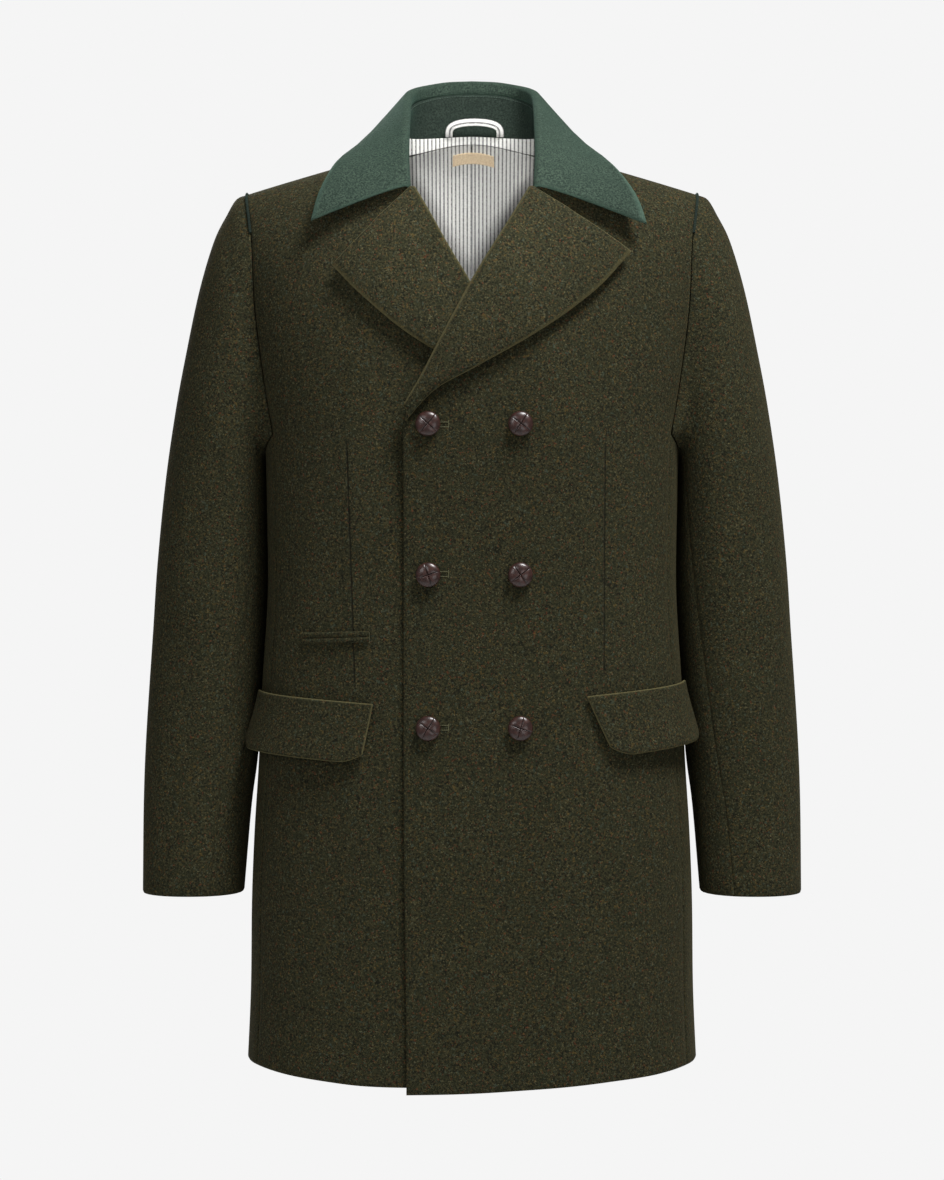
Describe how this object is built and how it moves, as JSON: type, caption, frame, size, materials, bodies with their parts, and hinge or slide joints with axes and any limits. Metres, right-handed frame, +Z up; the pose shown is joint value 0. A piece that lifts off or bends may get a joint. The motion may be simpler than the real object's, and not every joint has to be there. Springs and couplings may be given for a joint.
{
  "type": "double-breasted coat",
  "caption": "Thigh-length double-breasted wool coat with a felt collar, broad lapels, flap pockets and woven leather buttons, hollow and filled out as worn.",
  "frame": {"origin": "middle of the shoulder line, at the height of the shoulder points, where the wearer's shoulders hold the coat up", "axes": "+X to the wearer's left, +Y to the back, +Z up"},
  "size_m": [0.634, 0.2708, 0.9703],
  "materials": {
    "wool": "napped mottled wool",
    "felt": "dense felt",
    "striped_cotton": "plain woven stripe",
    "tape": "smooth woven tape",
    "leather": "polished woven leather"
  },
  "bodies": {
    "root": {"front_left": "wool", "front_right": "wool", "side_left": "wool", "side_right": "wool", "back_left": "wool", "back_right": "wool", "sleeve_top_left": "wool", "sleeve_top_right": "wool", "sleeve_under_left": "wool", "sleeve_under_right": "wool", "lapel_left": "wool", "lapel_right": "wool", "flap_left": "wool", "flap_right": "wool", "ticket_lip_upper": "wool", "ticket_lip_lower": "wool", "collar_fall": "felt", "collar_stand": "felt", "piping_left": "felt", "piping_right": "felt", "lining_left": "striped_cotton", "lining_right": "striped_cotton", "hanger_loop": "striped_cotton", "label": "tape", "button_1": "leather", "button_2": "leather", "button_3": "leather", "button_4": "leather", "button_5": "leather", "button_6": "leather"}
  },
  "joints": []
}
